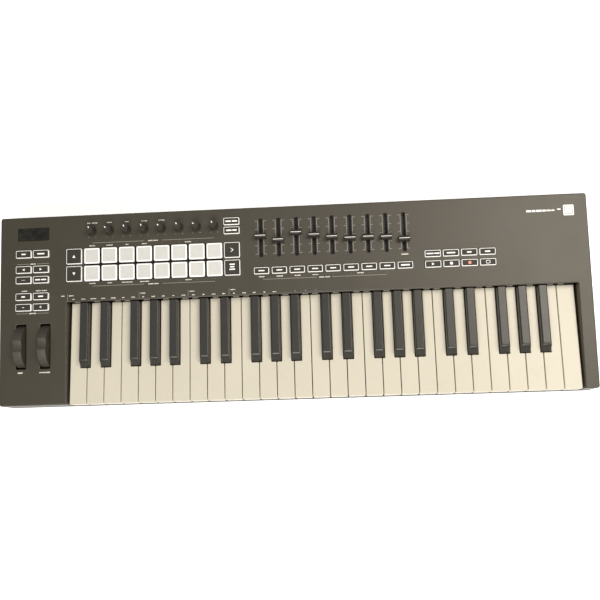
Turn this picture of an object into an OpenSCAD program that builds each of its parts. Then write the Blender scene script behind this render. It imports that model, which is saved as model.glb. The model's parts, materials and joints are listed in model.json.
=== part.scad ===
// Keyboard controller with 49 keys, pads, knobs, faders and two wheels.
// X runs to the right, Y to the rear and Z up. The origin is under the centre of the case,
// on the surface that the feet stand on.

/* [Case] */
// Depth of the case, front to rear
body_d = 258; // [254:0.5:262]
// Height of the panel face at the front edge
front_h = 45.7; // [45:0.1:47]
// Slope of the panel face, in degrees
panel_tilt = 4; // [3.6:0.1:4.4]
// Width of the control area left of the key bay
left_cheek = 93; // [90.5:0.1:94]
// Width of the end block right of the key bay
right_cheek = 18.4; // [15:0.1:20]
// Thickness of the case walls
wall = 2.5; // [2:0.1:3]
// Depth of the key bay behind the front edge
bay_d = 138; // [136:0.5:139]
// Height of the feet
foot_h = 3; // [2:0.5:3]
// Radius of the case's upright corners
corner_r = 3.5; // [3:0.5:8]

/* [Keys] */
// Width of one white key with its gap
white_pitch = 23.5; // [23:0.1:23.8]
// Gap between two white keys
key_gap = 1; // [0.8:0.1:1.2]
// Height of the white keys' upper face
white_top = 40.7; // [40:0.1:41]
// Height of the black keys above the white ones
black_rise = 11; // [9:0.5:11]
// Width of a black key at its foot
black_w = 12.6; // [11.5:0.1:12.8]
// Length of white key in front of the black keys
white_front = 49; // [46:0.5:52]
// Depth of a white key's front lip
lip_h = 17; // [15:0.5:17]
// Distance of the pivot rod from the rear edge
pivot_from_rear = 67; // [66:0.5:68]

/* [Controls] */
// Spacing of the pads, knobs, faders and buttons
grid = 24.1; // [23.9:0.1:24.3]
// Side of a pad
pad_size = 21.4; // [20:0.1:21.6]
// Height of a pad above the panel
pad_rise = 2.6; // [2:0.1:3]
// Height of a button above the panel
button_rise = 2.5; // [1.5:0.1:3]
// Height of a knob above the panel
knob_h = 14.5; // [12:0.1:14.5]
// Diameter of a knob at its foot
knob_d = 12.4; // [12:0.1:14]
// Height of a fader cap above the panel
fader_h = 10.5; // [9:0.1:11]
// Travel of a fader
fader_travel = 45; // [40:1:46]
// Radius of the pitch and modulation wheels
wheel_r = 30; // [29:0.1:30.4]
// Depth of the wheels' axles under the panel face
wheel_depth = 14; // [14:0.1:14.5]

/* [Hidden] */
$fn = 48;
KEY_NAMES = ["c", "c_sharp", "d", "d_sharp", "e", "f", "f_sharp", "g", "g_sharp", "a", "a_sharp", "b"];
BUTTON_NODES = ["left_buttons", "bank_buttons", "launch_buttons", "device_buttons", "fader_buttons",
                "transport_upper", "transport_lower"];

eps = 0.01;
clear = 0.4;
run_gap = 0.05;

// Case: widths follow from the key field
key_side_gap = 2;
white_count = 29;
key_count = 49;
key_left = left_cheek + key_side_gap;
bay_right = key_left + white_count * white_pitch + key_side_gap;
body_w = bay_right + right_cheek;
front_y = -body_d / 2;
bay_rear_y = front_y + bay_d;
split_drop = 25.7;
floor_z = foot_h + wall;
lip_top = 12.7;

// Keys
key_skin = 2;
notch_gap = 0.9;
white_bottom = white_top - lip_h;
black_bottom = 30;
black_top = white_top + black_rise;
black_front_y = front_y + white_front + 1;
white_rear_y = bay_rear_y + 0.5;
black_rear_y = bay_rear_y - 1;
bar_w = 8;
bar_low = 28;
bar_high = 38;
bar_end = 5;
pivot_y = body_d / 2 - pivot_from_rear;
pivot_z = 33;
rod_r = 2;
chassis_z = 8;
chassis_t = 2;
chassis_top = chassis_z + chassis_t;
white_guide_y = front_y + 17;
black_guide_y = black_front_y + 19;
contact_y = -33;
contact_z = 12;
spring_y = pivot_y - 16;
stop_rail_y = pivot_y - 34;

// Panel: rows are measured from the rear edge, columns from the left edge
board_depth = 10;
board_t = 1.6;
pad_x = 128.5;
pad_rows = [57.7, 81.8];
knob_y = 23.5;
fader_x = 360.8;
fader_y = 42.2;
fader_rest = [40.9, 47, 38.2, 42.3, 45.9, 48.6, 48.2, 49.1, 52.6];
fader_slot_w = 4.8;
side_button_x = [103.8, 321.3];
device_rows = [18.2, 30.7];
left_cols = [33.4, 57.6];
left_rows = [52, 73.4, 87.8, 110.7, 125.4];
transport_x = 590.4;
transport_rows = [73.85, 88];
fader_button_y = 87.7;
window_at = [46.2, 24.3];
window_size = [43.6, 17.3];
wheel_x = [29.7, 63.15];
wheel_y = 178.65;
wheel_w = 11.8;
wheel_slot = [13.8, 60.5];
bosses = [[7.5, 6.5], [170, 6.5], [340, 6.5], [510, 6.5], [680, 6.5], [body_w - 7.5, 6.5],
          [7.5, 138], [body_w - 7.5, 138], [7.5, body_d - 8], [80, body_d - 8],
          [body_w - 7.5, body_d - 8]];

// Rear sockets: distance from the left edge and height of the axis
usb_at = [48, 16.5];
usb_hole = [8.6, 7.9];
midi_at = [86, 21];
midi_r = 6.8;
jack_at = [124, 19];
jack_r = 3.25;

function panel_z(y) = front_h + (body_d - y) * tan(panel_tilt);
function is_black(s) = len(search(s % 12, [1, 3, 6, 8, 10])) > 0;
function whites_below(s) = floor(s / 12) * 7 + [0, 1, 1, 2, 2, 3, 4, 4, 5, 5, 6, 6][s % 12];
// Middle of a key's lane at the rear, where all twelve keys of an octave are nearly even
function lane_x(s) = key_left - body_w / 2 + floor(s / 12) * 7 * white_pitch
    + (s % 12 < 5 ? (s % 12 + 0.5) * white_pitch * 3 / 5
                  : 3 * white_pitch + (s % 12 - 4.5) * white_pitch * 4 / 7);

// Puts its children at a point of the panel face, with z along the face's normal
module on_panel(x, y) {
    translate([x - body_w / 2, body_d / 2 - y, panel_z(y)])
        rotate([panel_tilt, 0, 0])
            children();
}

module rounded(w, d, r) {
    square([w - 2 * r, d], center = true);
    square([w, d - 2 * r], center = true);
    for (sx = [-1, 1], sy = [-1, 1])
        translate([sx * (w / 2 - r), sy * (d / 2 - r)])
            circle(r = r);
}

module slab(w, d, low, high, r = 1) {
    translate([0, 0, low])
        linear_extrude(height = high - low)
            rounded(w, d, r);
}

// A box given by two corners
module span(low, high) {
    translate(low)
        cube(high - low);
}

// A slice of the case between two planes parallel to the panel face
module case_slice(high, low, inset) {
    intersection() {
        slab(body_w - 2 * inset, body_d - 2 * inset, foot_h, 100, corner_r - inset * 0.8);
        translate([-body_w, front_y, front_h])
            rotate([panel_tilt, 0, 0])
                translate([0, -30, low])
                    cube([2 * body_w, body_d + 60, high - low]);
    }
}

module bay_space(side, low) {
    span([left_cheek - body_w / 2 - side, front_y - 1, low],
         [bay_right - body_w / 2 + side, bay_rear_y + side, 100]);
}

// The wall plates beside the key bay
module bay_sides() {
    difference() {
        bay_space(wall, foot_h);
        bay_space(0, 0);
        span([-body_w, bay_rear_y, 0], [body_w, bay_rear_y + 10, 101]);
    }
}

// Runs its children at the middle of every button of one mat
module button_grid(name) {
    if (name == "left_buttons")
        for (x = left_cols, y = left_rows) on_panel(x, y) children();
    if (name == "bank_buttons")
        for (y = pad_rows) on_panel(side_button_x[0], y) children();
    if (name == "launch_buttons")
        for (y = pad_rows) on_panel(side_button_x[1], y) children();
    if (name == "device_buttons")
        for (y = device_rows) on_panel(side_button_x[1], y) children();
    if (name == "fader_buttons")
        for (i = [0:8]) on_panel(fader_x + i * grid, fader_button_y) children();
    if (name == "transport_upper")
        for (i = [0:3]) on_panel(transport_x + i * grid, transport_rows[0]) children();
    if (name == "transport_lower")
        for (i = [0:3]) on_panel(transport_x + i * grid, transport_rows[1]) children();
}

function button_size(name) =
    name == "bank_buttons" || name == "launch_buttons" ? [21.3, 21.1]
    : name == "fader_buttons" ? [20.3, 9.1]
    : name == "transport_upper" || name == "transport_lower" ? [21.1, 9.1]
    : [21.6, 9.9];

// Middle and size of the thin web that joins a mat's buttons under the panel
function web_box(name) =
    name == "left_buttons" ? [45.5, 88.7, 46, 84]
    : name == "bank_buttons" ? [side_button_x[0], 69.75, 22.4, 46]
    : name == "launch_buttons" ? [side_button_x[1], 69.75, 22.4, 46]
    : name == "device_buttons" ? [side_button_x[1], 24.45, 23, 23]
    : name == "fader_buttons" ? [fader_x + 4 * grid, fader_button_y, 8 * grid + 22, 11]
    : name == "transport_upper" ? [transport_x + 1.5 * grid, transport_rows[0], 3 * grid + 23, 11]
    : [transport_x + 1.5 * grid, transport_rows[1], 3 * grid + 23, 11];

module panel_cutouts() {
    for (y = pad_rows, i = [0:7])
        on_panel(pad_x + i * grid, y)
            slab(pad_size + 2 * clear, pad_size + 2 * clear, -8, 8);
    for (name = BUTTON_NODES)
        button_grid(name)
            slab(button_size(name)[0] + 2 * clear, button_size(name)[1] + 2 * clear, -8, 8);
    for (i = [0:7])
        on_panel(pad_x + i * grid, knob_y)
            cylinder(r = 3.6, h = 16, center = true);
    for (i = [0:8])
        on_panel(fader_x + i * grid, fader_y)
            slab(fader_slot_w, fader_travel + 8, -8, 8);
    for (x = wheel_x)
        on_panel(x, wheel_y)
            slab(wheel_slot[0], wheel_slot[1], -8, 8);
    on_panel(window_at[0], window_at[1]) {
        slab(window_size[0] + 0.4, window_size[1] + 0.4, -1.2, 8, 0.8);
        slab(window_size[0] - 4, window_size[1] - 4, -8, 8, 0.8);
    }
}

module at_bosses() {
    for (b = bosses)
        translate([b[0] - body_w / 2, body_d / 2 - b[1], 0])
            children();
}

module top_shell() {
    color("#4b4842")
        difference() {
            union() {
                difference() {
                    case_slice(0, -split_drop, 0);
                    case_slice(-wall, -split_drop - 20, wall);
                    bay_space(0, 0);
                }
                intersection() {
                    case_slice(-eps, -split_drop, eps);
                    bay_sides();
                }
                intersection() {
                    case_slice(-1, -100, 1);
                    at_bosses()
                        translate([0, 0, floor_z + 0.1])
                            cylinder(r = 3, h = 80);
                }
            }
            panel_cutouts();
            at_bosses()
                cylinder(r = 1.5, h = 32);
        }
}

module bottom_shell() {
    color("#3a3835")
        difference() {
            union() {
                difference() {
                    case_slice(-split_drop, -100, 0);
                    translate([0, 0, floor_z - foot_h])
                        case_slice(-split_drop + 20, -100, wall);
                }
                intersection() {
                    case_slice(-split_drop, -100, eps);
                    bay_sides();
                }
                for (x = [30, 145], y = [12, 44])
                    translate([x - body_w / 2, body_d / 2 - y, floor_z - eps])
                        cylinder(r = 3, h = 3.5 + eps);
            }
            span([left_cheek - body_w / 2, front_y - 1, lip_top],
                 [bay_right - body_w / 2, front_y + wall + 1, 60]);
            at_bosses() {
                cylinder(r = 1.6, h = 20);
                translate([0, 0, foot_h - 1])
                    cylinder(r = 3.2, h = 2.6);
            }
            translate([usb_at[0] - body_w / 2, 0, usb_at[1]])
                span([-6.6, 100, -5.9], [6.6, 140, 5.9]);
            translate([midi_at[0] - body_w / 2, 100, midi_at[1]])
                rotate([-90, 0, 0])
                    cylinder(r = 9, h = 40);
            translate([jack_at[0] - body_w / 2, 100, jack_at[1]])
                rotate([-90, 0, 0])
                    cylinder(r = 6, h = 40);
        }
}

module rubber_feet() {
    color("#222222")
        for (x = [-350, 0, 350], y = [-100, 100])
            translate([x, y, 0])
                cylinder(r = 8, h = foot_h);
}

module case_screws() {
    color("#8c8c8c")
        at_bosses() {
            difference() {
                translate([0, 0, foot_h + 0.1])
                    cylinder(r = 2.8, h = 1.5);
                translate([0, 0, foot_h + 0.5])
                    rotate([180, 0, 0])
                        cylinder(r = 1.2, h = 1, $fn = 6);
            }
            translate([0, 0, foot_h + 1.5])
                cylinder(r = 1.4, h = 24);
        }
}

// Posts of the pivot comb stand midway between neighbouring keys
function comb_x(i) = i == 0 ? lane_x(0) - 6.75
    : i == key_count ? lane_x(key_count - 1) + 6.75
    : (lane_x(i - 1) + lane_x(i)) / 2;

module key_chassis() {
    left = comb_x(0) - 2;
    right = comb_x(key_count) + 10;
    color("#5c6064")
        difference() {
            union() {
                span([left, front_y + 4, chassis_z], [right, pivot_y + 8, chassis_top]);
                for (x = [left + 6, 0, right - 14], y = [-115, -10, 60])
                    span([x, y, floor_z], [x + 8, y + 5, chassis_z + eps]);
                for (i = [0:key_count])
                    span([comb_x(i) - 1, pivot_y - 5, chassis_top - eps],
                         [comb_x(i) + 1, pivot_y + 5, pivot_z + 4]);
                for (i = [0, 12, 24, 36, 49])
                    span([comb_x(i) - 1, stop_rail_y - 5, chassis_top - eps],
                         [comb_x(i) + 1, pivot_y - 4, bar_high + 2.6]);
                span([comb_x(0) - 1, stop_rail_y - 5, bar_high + 1.6],
                     [comb_x(key_count) + 1, stop_rail_y + 5, bar_high + 3.6]);
                for (s = [0:key_count - 1])
                    if (is_black(s))
                        span([lane_x(s) - 2, black_guide_y - 2, chassis_top - eps],
                             [lane_x(s) + 2, black_guide_y + 2, 35]);
                for (w = [0:white_count - 1])
                    translate([key_left - body_w / 2 + (w + 0.5) * white_pitch, white_guide_y, 0])
                        span([-3, -2, chassis_top - eps], [3, 2, 27]);
            }
            translate([left - 1, pivot_y, pivot_z])
                rotate([0, 90, 0])
                    cylinder(r = rod_r + run_gap, h = right - left + 2);
        }
}

module key_pivot_rod() {
    color("#b8bcc0")
        translate([comb_x(0) - 1, pivot_y, pivot_z])
            rotate([0, 90, 0])
                cylinder(r = rod_r, h = comb_x(key_count) - comb_x(0) + 2);
}

module key_springs() {
    color("#9aa0a6")
        for (s = [0:key_count - 1])
            translate([lane_x(s), spring_y, chassis_top])
                difference() {
                    cylinder(r = 2.4, h = bar_low - chassis_top - 1.2);
                    translate([0, 0, -1])
                        cylinder(r = 1.6, h = 30);
                }
}

module key_contact_board() {
    color("#2f5d3a")
        span([comb_x(0), contact_y - 12, contact_z], [comb_x(key_count), contact_y + 12, contact_z + board_t]);
}

module contact_domes() {
    color("#8f9396")
        for (s = [0:key_count - 1])
            translate([lane_x(s), contact_y, contact_z + board_t]) {
                cylinder(r1 = 4.2, r2 = 2.6, h = 4);
                translate([0, 0, 4 - eps])
                    cylinder(r = 2.6, h = 2);
            }
}

module key_felts() {
    color("#7a2f35") {
        span([comb_x(0), front_y + 5, chassis_top], [comb_x(key_count), front_y + 13, 13.6]);
        span([comb_x(0) + 1.5, stop_rail_y - 4, bar_high + 0.3],
             [comb_x(12) - 1.5, stop_rail_y + 4, bar_high + 1.6]);
        span([comb_x(12) + 1.5, stop_rail_y - 4, bar_high + 0.3],
             [comb_x(24) - 1.5, stop_rail_y + 4, bar_high + 1.6]);
        span([comb_x(24) + 1.5, stop_rail_y - 4, bar_high + 0.3],
             [comb_x(36) - 1.5, stop_rail_y + 4, bar_high + 1.6]);
        span([comb_x(36) + 1.5, stop_rail_y - 4, bar_high + 0.3],
             [comb_x(49) - 1.5, stop_rail_y + 4, bar_high + 1.6]);
    }
}

module main_board() {
    color("#2f5d3a") {
        span([22 - body_w / 2, 78, floor_z + 3.5], [160 - body_w / 2, 124, floor_z + 3.5 + board_t]);
        span([100 - body_w / 2, 86, floor_z + 3.5 + board_t - eps],
             [114 - body_w / 2, 100, floor_z + 6.7]);
    }
}

module control_board() {
    color("#2f5d3a")
        on_panel(0, 0)
            translate([0, 0, -board_depth - board_t]) {
                span([14, -100, 0], [body_w - 14, -11.5, board_t]);
                span([14, -134, 0], [75, -99, board_t]);
            }
}

module slide_pots() {
    color("#6f7276")
        for (i = [0:8])
            on_panel(fader_x + i * grid, fader_y)
                difference() {
                    span([-4.5, -31, -board_depth], [4.5, 31, -3.2]);
                    span([-1.6, -fader_travel / 2 - 3, -board_depth + 1], [1.6, fader_travel / 2 + 3, 0]);
                }
}

module rotary_pots() {
    color("#6f7276")
        for (i = [0:7])
            on_panel(pad_x + i * grid, knob_y)
                difference() {
                    span([-5, -5.5, -board_depth], [5, 5.5, -3.4]);
                    translate([0, 0, -board_depth + 1])
                        cylinder(r = 3 + run_gap, h = 20);
                }
}

module wheel_bracket() {
    reach = wheel_w / 2 + 1.2;
    color("#7b7f83")
        for (x = wheel_x) {
            on_panel(x, wheel_y)
                translate([0, 0, -wheel_depth]) {
                    rotate([0, 90, 0])
                        cylinder(r = rod_r, h = 2 * reach + 2, center = true);
                    for (side = [-1, 1])
                        span([side * (reach + 0.8) - 0.8, -7, -30.5], [side * (reach + 0.8) + 0.8, 7, 6]);
                }
            translate([x - body_w / 2, body_d / 2 - wheel_y, 0])
                span([-reach - 1.6, -6, floor_z], [reach + 1.6, 9, floor_z + 3.4]);
        }
}

module display_window() {
    color("#141516")
        on_panel(window_at[0], window_at[1])
            slab(window_size[0], window_size[1], -1.2, 0.1, 0.8);
}

module display_module() {
    color("#8a8f8a")
        on_panel(window_at[0], window_at[1])
            span([-23, -9.6, -board_depth], [23, 9.6, -3]);
}

module usb_socket() {
    color("#b9bdc1")
        translate([usb_at[0] - body_w / 2, 0, usb_at[1]])
            difference() {
                span([-6, 111, -5.4], [6, 128.8, 5.4]);
                span([-usb_hole[0] / 2, 119, -usb_hole[1] / 2], [usb_hole[0] / 2, 130, usb_hole[1] / 2]);
            }
}

module midi_socket() {
    color("#1d1d1e")
        translate([midi_at[0] - body_w / 2, 0, midi_at[1]])
            difference() {
                union() {
                    span([-9.5, 108, -10.4], [9.5, 124.5, 9.5]);
                    translate([0, 124, 0])
                        rotate([-90, 0, 0])
                            cylinder(r = 8.5, h = 4.8);
                }
                translate([0, 119, 0])
                    rotate([-90, 0, 0])
                        cylinder(r = midi_r, h = 12);
                for (a = [0:45:180])
                    translate([4.3 * cos(a), 115, 4.3 * sin(a)])
                        rotate([-90, 0, 0])
                            cylinder(r = 0.8, h = 6);
            }
}

module pedal_jack() {
    color("#242425")
        translate([jack_at[0] - body_w / 2, 0, jack_at[1]])
            difference() {
                union() {
                    span([-8, 96, -8.4], [8, 124.5, 8]);
                    translate([0, 124, 0])
                        rotate([-90, 0, 0])
                            cylinder(r = 5.6, h = 4.8);
                }
                translate([0, 99, 0])
                    rotate([-90, 0, 0])
                        cylinder(r = jack_r, h = 32);
            }
}

// A wheel is most of a disc; notch is the angle of its thumb dent, towards the rear
module wheel(x, notch) {
    color("#55524c")
        on_panel(x, wheel_y)
            translate([0, 0, -wheel_depth])
                rotate([0, 90, 0])
                    difference() {
                        intersection() {
                            cylinder(r = wheel_r, h = wheel_w, center = true, $fn = 96);
                            span([-50, -50, -10], [8, 50, 10]);
                        }
                        cylinder(r = rod_r + run_gap, h = 30, center = true);
                        rotate([0, 0, -notch])
                            translate([-wheel_r - 11, 0, 0])
                                cylinder(r = 14, h = 30, center = true);
                    }
}

module pitch_wheel() { wheel(wheel_x[0], 0); }
module mod_wheel() { wheel(wheel_x[1], 5); }

module pad_row(y) {
    color("#dcdcd4") {
        for (i = [0:7])
            on_panel(pad_x + i * grid, y)
                slab(pad_size, pad_size, -5.4, pad_rise, 1.2);
        on_panel(pad_x + 3.5 * grid, y)
            slab(7 * grid + 23.4, 23.4, -6, -4.6);
    }
}

module button_mat(name) {
    web = web_box(name);
    color("#cfccc4") {
        button_grid(name)
            slab(button_size(name)[0], button_size(name)[1], -5.6, button_rise);
        on_panel(web[0], web[1])
            slab(web[2], web[3], -6.2, -5.2);
    }
}

// A knob with its shaft, which runs in the potentiometer
module knob(i) {
    color("#35332f")
        on_panel(pad_x + (i - 1) * grid, knob_y) {
            rotate_extrude($fn = 64)
                polygon([[0, 0.6], [knob_d / 2, 0.6], [knob_d / 2, 1.8], [knob_d / 2 - 0.4, 2.2],
                         [knob_d / 2 - 1.1, knob_h - 0.8], [knob_d / 2 - 1.7, knob_h], [0, knob_h]]);
            translate([0, 0, -board_depth + 1.5])
                cylinder(r = 3, h = board_depth);
        }
}

// A fader cap with its lever, at the place where it was left
module fader(i) {
    color("#2f2e2b")
        on_panel(fader_x + (i - 1) * grid, fader_rest[i - 1]) {
            translate([-7.5, 0, 0])
                rotate([90, 0, 90])
                    linear_extrude(height = 15)
                        polygon([[-4, 2.2], [4, 2.2], [3.8, 6], [2.4, fader_h], [-2.4, fader_h], [-3.8, 6]]);
            span([-0.7, -2.5, -board_depth + 2.5], [0.7, 2.5, 3]);
        }
}

// The bar behind a key, with the bore for the pivot rod, and the plunger over its contact
module key_bar(s, start_y) {
    difference() {
        span([lane_x(s) - bar_w / 2, start_y, bar_low], [lane_x(s) + bar_w / 2, pivot_y + bar_end, bar_high]);
        translate([lane_x(s), pivot_y, pivot_z])
            rotate([0, 90, 0])
                cylinder(r = rod_r + run_gap, h = 20, center = true);
    }
}

module white_key(s) {
    w = whites_below(s);
    left = key_left - body_w / 2 + w * white_pitch + key_gap / 2;
    right = left + white_pitch - key_gap;
    notch = black_w / 2 + notch_gap;
    stem_left = s > 0 && is_black(s + 11) ? lane_x(s - 1) + notch : left;
    stem_right = s < key_count - 1 && is_black(s + 1) ? lane_x(s + 1) - notch : right;
    shoulder_y = black_front_y - 1;
    difference() {
        union() {
            span([left, front_y, white_bottom], [right, shoulder_y, white_top]);
            span([stem_left, shoulder_y - eps, white_bottom], [stem_right, white_rear_y, white_top]);
        }
        span([left + key_skin, front_y + key_skin, white_bottom - 1],
             [right - key_skin, shoulder_y - key_skin, white_top - key_skin]);
        span([stem_left + key_skin, front_y + key_skin + 1, white_bottom - 1],
             [stem_right - key_skin, white_rear_y - key_skin, white_top - key_skin]);
    }
    span([lane_x(s) - 2.5, contact_y - 3, white_bottom + 2], [lane_x(s) + 2.5, contact_y + 3, white_top - 1]);
    key_bar(s, white_rear_y - 1);
}

module black_key(s) {
    foot = black_w / 2;
    difference() {
        translate([lane_x(s), black_rear_y, 0])
            rotate([90, 0, 0])
                linear_extrude(height = black_rear_y - black_front_y)
                    polygon([[-foot, black_bottom], [foot, black_bottom], [foot, white_top + 1],
                             [foot - 0.4, black_top - 1.2], [foot - 1.3, black_top], [1.3 - foot, black_top],
                             [0.4 - foot, black_top - 1.2], [-foot, white_top + 1]]);
        translate([lane_x(s) - 10, black_front_y, white_top - 1])
            rotate([-40, 0, 0])
                span([0, -20, 0], [20, 0, 30]);
        span([lane_x(s) - foot + key_skin, black_front_y + key_skin, black_bottom - 1],
             [lane_x(s) + foot - key_skin, black_rear_y - key_skin, white_top + 3]);
    }
    span([lane_x(s) - 2.5, contact_y - 3, white_bottom + 2], [lane_x(s) + 2.5, contact_y + 3, white_top + 4]);
    key_bar(s, black_rear_y - 1);
}

// All keys of one note name
module keys_of(note) {
    color(is_black(note) ? "#3a3936" : "#ebe3cf")
        for (s = [note:12:key_count - 1])
            if (is_black(s)) black_key(s); else white_key(s);
}

top_shell();
bottom_shell();
rubber_feet();
case_screws();
key_chassis();
key_pivot_rod();
key_springs();
key_contact_board();
contact_domes();
key_felts();
main_board();
control_board();
slide_pots();
rotary_pots();
wheel_bracket();
display_window();
display_module();
usb_socket();
midi_socket();
pedal_jack();
pitch_wheel();
mod_wheel();
pad_row(pad_rows[0]);  // pads_upper
pad_row(pad_rows[1]);  // pads_lower
for (name = BUTTON_NODES)
    button_mat(name);
for (note = [0:11])
    keys_of(note);
for (i = [1:8])
    knob(i);
for (i = [1:9])
    fader(i);
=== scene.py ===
"""Looks for the 49-key keyboard controller: keys, pads, buttons, knobs, faders, wheels and case.

Shapes are built in millimetres in the frame's own axes and turned into metres by solid().
"""
import json
import math
import random

import bpy
from mathutils import Matrix, Vector
from mathutils.geometry import tessellate_polygon


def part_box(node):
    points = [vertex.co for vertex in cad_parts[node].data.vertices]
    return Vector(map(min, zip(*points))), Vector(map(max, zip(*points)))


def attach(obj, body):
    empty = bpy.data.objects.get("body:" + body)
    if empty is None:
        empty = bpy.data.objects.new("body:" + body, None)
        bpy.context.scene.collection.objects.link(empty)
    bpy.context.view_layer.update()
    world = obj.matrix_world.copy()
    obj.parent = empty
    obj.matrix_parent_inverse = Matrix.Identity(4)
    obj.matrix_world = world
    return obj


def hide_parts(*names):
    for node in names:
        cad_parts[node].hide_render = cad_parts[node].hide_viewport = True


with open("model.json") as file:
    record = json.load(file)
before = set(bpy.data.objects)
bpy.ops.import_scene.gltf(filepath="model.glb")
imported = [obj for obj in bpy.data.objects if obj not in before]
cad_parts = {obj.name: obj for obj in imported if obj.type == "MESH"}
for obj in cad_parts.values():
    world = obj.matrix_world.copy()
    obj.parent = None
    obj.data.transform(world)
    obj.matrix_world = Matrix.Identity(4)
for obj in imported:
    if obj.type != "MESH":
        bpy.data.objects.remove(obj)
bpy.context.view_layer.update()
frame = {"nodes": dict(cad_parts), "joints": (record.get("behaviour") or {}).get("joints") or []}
random.seed(49)

MM = 0.001


# ---------------------------------------------------------------- places, taken from the frame

def corners(node):
    low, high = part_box(node)
    return low / MM, high / MM


JOINTS = {j["name"]: j for j in frame["joints"]}
CASE_LOW, CASE_HIGH = corners("top_shell")
BODY_W = CASE_HIGH.x - CASE_LOW.x
BODY_D = CASE_HIGH.y - CASE_LOW.y
NORMAL = Vector(JOINTS["turn_knob_1"]["axis"])
TILT = math.atan2(-NORMAL.y, NORMAL.z)
KNOB_X = [JOINTS[f"turn_knob_{i}"]["pos_m"][0] / MM + BODY_W / 2 for i in range(1, 9)]
KNOB_Y = BODY_D / 2 - JOINTS["turn_knob_1"]["pos_m"][1] / MM
GRID = (KNOB_X[7] - KNOB_X[0]) / 7
WALL = 2.5
KEY_GAP = 1.0
WHITE_COUNT = 29
KEY_COUNT = 49
KEYS_LOW, KEYS_HIGH = corners("keys_c")
WHITE_PITCH = (KEYS_HIGH.x - KEYS_LOW.x + KEY_GAP) / WHITE_COUNT
KEY_LEFT = KEYS_LOW.x - KEY_GAP / 2
WHITE_TOP = KEYS_HIGH.z
WHITE_BOTTOM = KEYS_LOW.z
BLACK_LOW, BLACK_HIGH = corners("keys_c_sharp")
NOTES = ["c", "c_sharp", "d", "d_sharp", "e", "f", "f_sharp", "g", "g_sharp", "a", "a_sharp", "b"]
PIVOT = Vector(JOINTS["press_keys_c"]["pos_m"]) / MM


def panel_z(y):
    """Height of the panel face at distance y from the rear edge."""
    return CASE_HIGH.z - y * math.tan(TILT)


def panel_place(x, y):
    """The panel's own axes at a point of its face: x from the left edge, y from the rear edge."""
    spot = Matrix.Translation((x - BODY_W / 2, BODY_D / 2 - y, panel_z(y)))
    return spot @ Matrix.Rotation(TILT, 4, "X")


def middle(node):
    """Middle of a node as panel coordinates x and y."""
    low, high = corners(node)
    return (low.x + high.x) / 2 + BODY_W / 2, BODY_D / 2 - (low.y + high.y) / 2


# ---------------------------------------------------------------- mesh helpers

def outline(points, inset, steps):
    """An anticlockwise outline with rounded corners, moved inwards by inset.

    points holds (x, y, radius). The number of points made doesn't depend on inset.
    """
    made = []
    count = len(points)
    for i, (x, y, radius) in enumerate(points):
        here = Vector((x, y))
        before = Vector(points[i - 1][:2])
        after = Vector(points[(i + 1) % count][:2])
        d1 = (here - before).normalized()
        d2 = (after - here).normalized()
        n1 = Vector((-d1.y, d1.x))
        n2 = Vector((-d2.y, d2.x))
        corner = here + (n1 + n2) / (1 + n1.dot(n2)) * inset
        turn = math.atan2(d1.x * d2.y - d1.y * d2.x, d1.dot(d2))
        r = max(radius - inset, 0.02) if turn > 0 else radius + inset
        back = r * math.tan(abs(turn) / 2)
        side = 1 if turn > 0 else -1
        centre = corner - d1 * back + n1 * r * side
        arm = corner - d1 * back - centre
        for k in range(steps + 1):
            angle = turn * k / steps
            c, s = math.cos(angle), math.sin(angle)
            made.append((centre.x + arm.x * c - arm.y * s, centre.y + arm.x * s + arm.y * c))
    return made


def circle(r, count, x=0.0, y=0.0):
    return [(x + r * math.cos(math.tau * k / count), y + r * math.sin(math.tau * k / count))
            for k in range(count)]


def at_height(points, z):
    return [(x, y, z) for x, y in points]


def box_points(w, d, r, x=0.0, y=0.0):
    return [(x - w / 2, y - d / 2, r), (x + w / 2, y - d / 2, r),
            (x + w / 2, y + d / 2, r), (x - w / 2, y + d / 2, r)]


def round_over(radius, top, steps):
    """Profile of (inset, height) over a rounded edge, from the wall up to the face."""
    return [(radius * (1 - math.cos(math.pi / 2 * k / steps)),
             top - radius + radius * math.sin(math.pi / 2 * k / steps)) for k in range(steps + 1)]


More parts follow.
